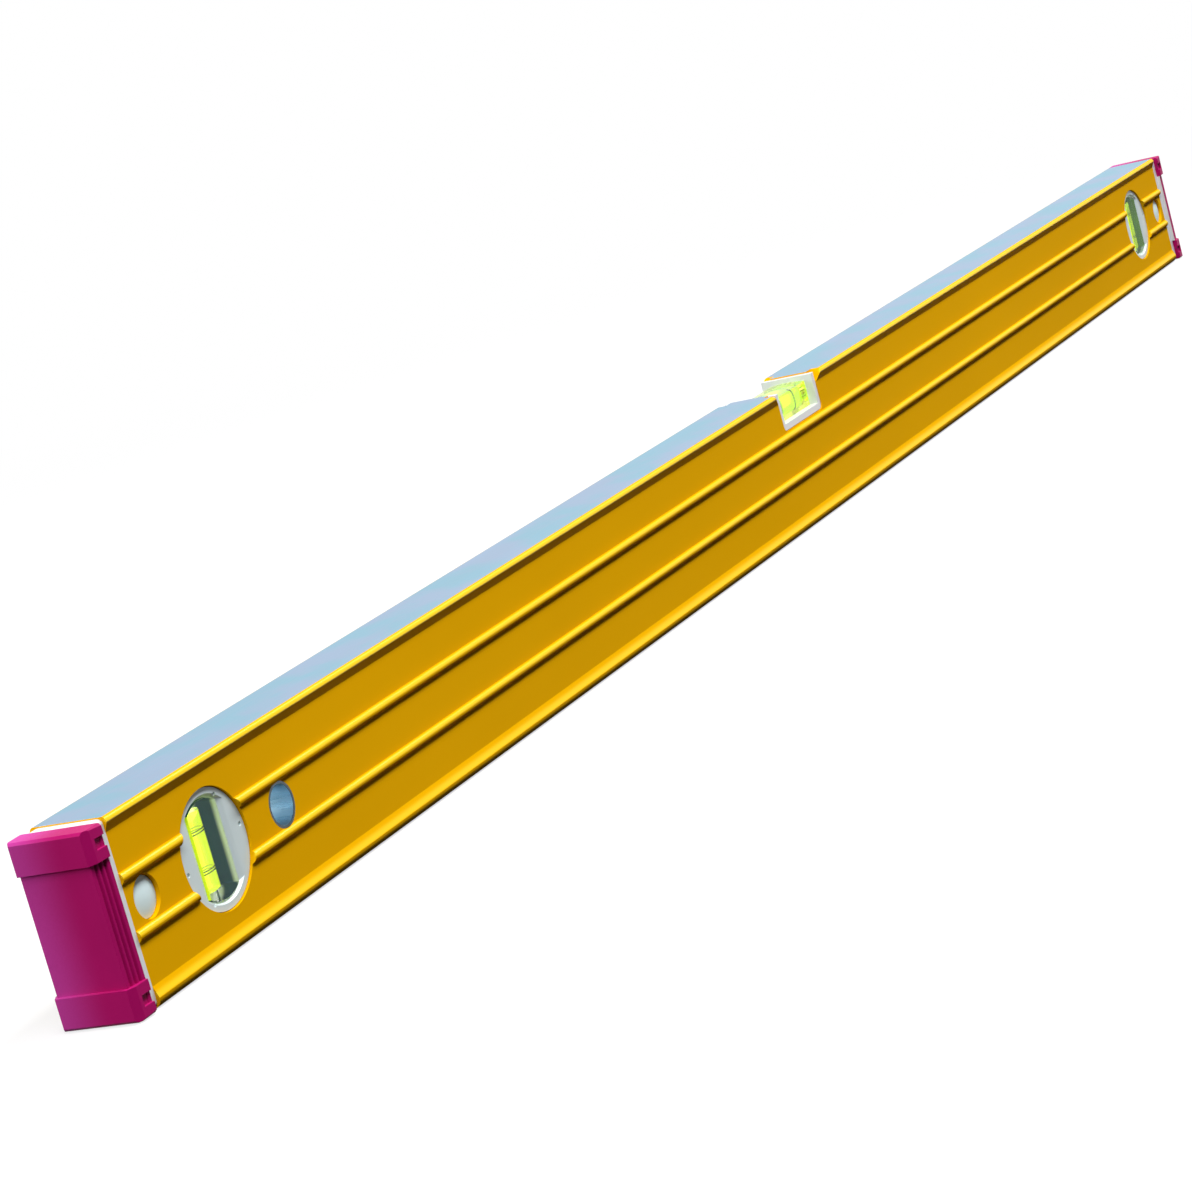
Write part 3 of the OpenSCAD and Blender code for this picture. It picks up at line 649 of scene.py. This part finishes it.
class LEVEL_OT_dress_level_vial(bpy.types.Operator):
    """Finish the housing, clear block, liquid and bubble of the level vial"""

    bl_idname = "level.dress_level_vial"
    bl_label = "Level Vial"

    def execute(self, context):
        colours, sizes = context.scene.level_colours, context.scene.level_sizes
        white = moulded_plastic("housing_plastic", colours.white, coat_weight=0.15)
        plug = moulded_plastic("level_plug_plastic", colours.white, roughness=0.4, grain_size=2200.0)
        liquid = vial_liquid("lime_level_liquid", colours.level_lime)
        bm = softened("level_housing", sizes.plastic_edge)
        piece_from(bm, "level_tray", "level_body", white, ["level_housing"])
        dress("level_block", clear_acrylic("level_block_acrylic", LEVEL_BLOCK_TINT))
        dress("level_bubble", vial_bubble(colours))
        dress("level_plug", plug)
        dress("level_lines", line_ink())
        low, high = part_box("level_liquid")
        height = (low.z + high.z) / 2
        radius = high.y + sizes.wetting
        start = Vector((low.x - sizes.wetting, 0.0, height))
        stop = Vector((high.x + sizes.wetting, 0.0, height))
        bm = liquid_rod(radius, start, stop, Matrix.Rotation(math.pi / 2, 3, "Y"), sizes.rod_edge)
        piece_from(bm, "level_lime_rod", "level_body", liquid, ["level_liquid"])
        return {"FINISHED"}


class LEVEL_OT_dress_end_caps(bpy.types.Operator):
    """Finish the white cores and the rubber bumpers of both ends"""

    bl_idname = "level.dress_end_caps"
    bl_label = "End Caps"

    def execute(self, context):
        colours, sizes = context.scene.level_colours, context.scene.level_sizes
        white = moulded_plastic("cap_core_plastic", colours.white, coat_weight=0.1)
        rubber = bumper_rubber(colours)
        for end in ENDS:
            stem = "cap_" + end
            bm = softened(stem + "_core", sizes.plastic_edge)
            piece_from(bm, stem + "_collar", "level_body", white, [stem + "_core"])
            bm = softened(stem + "_bumper", sizes.bumper_edge, segments=3, sharp=RUBBER_SHARP_ANGLE)
            piece_from(bm, stem + "_rubber", "level_body", rubber, [stem + "_bumper"])
        return {"FINISHED"}


class LEVEL_OT_dress_catches(bpy.types.Operator):
    """Finish the sprung tongues and their soft pads"""

    bl_idname = "level.dress_catches"
    bl_label = "Catches"

    def execute(self, context):
        colours = context.scene.level_colours
        white = moulded_plastic("catch_tongue_plastic", colours.white)
        soft = moulded_plastic(
            "catch_pad_plastic", colours.pad, roughness=0.5, grain_size=900.0, depth=0.00003,
        )
        for end in ENDS:
            for face in FACES:
                dress(f"cap_{end}_{face}_catch", white)
                dress(f"cap_{end}_{face}_pad", soft)
        return {"FINISHED"}


class LEVEL_OT_dress_magnets(bpy.types.Operator):
    """Finish the bar magnets and their trays"""

    bl_idname = "level.dress_magnets"
    bl_label = "Magnets"

    def execute(self, context):
        colours = context.scene.level_colours
        plated = turned_steel("magnet_plating", colours.steel, MAGNET_LINES)
        slate = moulded_plastic("magnet_tray_plastic", colours.slate, roughness=0.5, grain_size=1200.0)
        for number in MAGNETS:
            dress("magnet_" + number, plated)
            dress("magnet_tray_" + number, slate)
        return {"FINISHED"}


def studio_floor():
    """White where it is seen, with the level's shadow kept, dark as a source of light, open from below"""
    floor = finish_named("studio_floor")
    tone = floor.blend(floor.noise(scale=3.0, detail=2.0), grey(0.90), grey(0.92))
    matt = floor.add("ShaderNodeBsdfDiffuse", inputs={"Color": tone})
    glow = floor.add("ShaderNodeEmission", inputs={"Color": grey(1.0), "Strength": 1.0})
    dull = floor.add("ShaderNodeBsdfDiffuse", inputs={"Color": grey(0.012)})
    settings, inputs = {"operation": "LENGTH"}, {0: floor.coordinates()}
    reach = floor.add("ShaderNodeVectorMath", settings, inputs, output="Value")
    share = reach.between(PAPER_START, PAPER_FULL) * (1 - PAPER_SHARE) + PAPER_SHARE
    top = floor.layer(floor.seen(), dull, floor.layer(share, matt, glow))
    below = floor.add("ShaderNodeNewGeometry", output="Backfacing")
    gone = floor.add("ShaderNodeBsdfTransparent")
    return floor.show(floor.layer(below, top, gone))


def studio_sky(strength):
    """White where it is seen, faint as a source of light"""
    sky = Finish(bpy.data.worlds.new("studio_sky"))
    light = sky.add("ShaderNodeBackground", inputs={"Color": rgba(SKY_TINT), "Strength": strength})
    paper = sky.add("ShaderNodeBackground", inputs={"Color": grey(1.0), "Strength": 1.0})
    return sky.show(sky.layer(sky.seen(), light, paper), target="ShaderNodeOutputWorld")


def lay_floor(stage):
    bm = bmesh.new()
    bmesh.ops.create_grid(bm, x_segments=1, y_segments=1, size=stage.floor_size / 2)
    mesh = bpy.data.meshes.new("floor")
    bm.to_mesh(mesh)
    bm.free()
    mesh.materials.append(studio_floor())
    floor = bpy.data.objects.new("floor", mesh)
    bpy.context.scene.collection.objects.link(floor)


def softbox(name, energy, size, place, aim):
    lamp = bpy.data.lights.new(name, "AREA")
    lamp.shape = "RECTANGLE"
    lamp.size, lamp.size_y = size
    lamp.energy = energy
    holder = bpy.data.objects.new(name, lamp)
    holder.location = place
    holder.rotation_euler = (Vector(aim) - Vector(place)).to_track_quat("-Z", "Y").to_euler()
    bpy.context.scene.collection.objects.link(holder)


def set_camera(scene, stage):
    camera = bpy.data.objects.new("camera", bpy.data.cameras.new("camera"))
    camera.data.lens = stage.lens
    camera.data.sensor_width = SENSOR_WIDTH
    camera.data.clip_start, camera.data.clip_end = CLIP_START, CLIP_END
    view = Vector(stage.camera_aim) - Vector(stage.camera_at)
    turn = view.to_track_quat("-Z", "Y").to_matrix() @ Matrix.Rotation(stage.camera_roll, 3, "Z")
    camera.matrix_world = Matrix.LocRotScale(Vector(stage.camera_at), turn, None)
    scene.collection.objects.link(camera)
    scene.camera = camera


class LEVEL_OT_set_stage(bpy.types.Operator):
    """Lay the floor, hang the lamps and set the camera"""

    bl_idname = "level.set_stage"
    bl_label = "Stage"

    def execute(self, context):
        scene, stage = context.scene, context.scene.level_stage
        lay_floor(stage)
        scene.world = studio_sky(stage.sky)
        softbox("key_softbox", stage.key, KEY_SIZE, stage.key_at, LEVEL_MIDDLE)
        softbox("back_softbox", stage.back, BACK_SIZE, stage.back_at, LEVEL_MIDDLE)
        softbox("fill_softbox", stage.fill, FILL_SIZE, stage.fill_at, LEFT_END)
        set_camera(scene, stage)
        scene.view_settings.view_transform = "Standard"
        return {"FINISHED"}


OPERATORS = (
    LEVEL_OT_dress_profile,
    LEVEL_OT_dress_plumb_vials,
    LEVEL_OT_dress_level_vial,
    LEVEL_OT_dress_end_caps,
    LEVEL_OT_dress_catches,
    LEVEL_OT_dress_magnets,
    LEVEL_OT_set_stage,
)


class LEVEL_PT_pieces(bpy.types.Panel):
    """Buttons for the pieces of the level, in the order in which they are made"""

    bl_label = "Spirit Level"
    bl_idname = "LEVEL_PT_pieces"
    bl_space_type = "VIEW_3D"
    bl_region_type = "UI"
    bl_category = "Level"

    def draw(self, context):
        for operator in OPERATORS:
            self.layout.operator(operator.bl_idname)
        for group in (context.scene.level_colours, context.scene.level_sizes, context.scene.level_stage):
            box = self.layout.box()
            for name in group.bl_rna.properties.keys():
                if name not in ("rna_type", "name"):
                    box.prop(group, name)


CLASSES = (LevelColours, LevelSizes, LevelStage, *OPERATORS, LEVEL_PT_pieces)


def register():
    for cls in CLASSES:
        bpy.utils.register_class(cls)
    bpy.types.Scene.level_colours = PointerProperty(type=LevelColours)
    bpy.types.Scene.level_sizes = PointerProperty(type=LevelSizes)
    bpy.types.Scene.level_stage = PointerProperty(type=LevelStage)


def unregister():
    del bpy.types.Scene.level_stage
    del bpy.types.Scene.level_sizes
    del bpy.types.Scene.level_colours
    for cls in reversed(CLASSES):
        bpy.utils.unregister_class(cls)


def main():
    register()
    for operator in OPERATORS:
        group, name = operator.bl_idname.split(".")
        getattr(getattr(bpy.ops, group), name)()


if __name__ == "__main__":
    main()
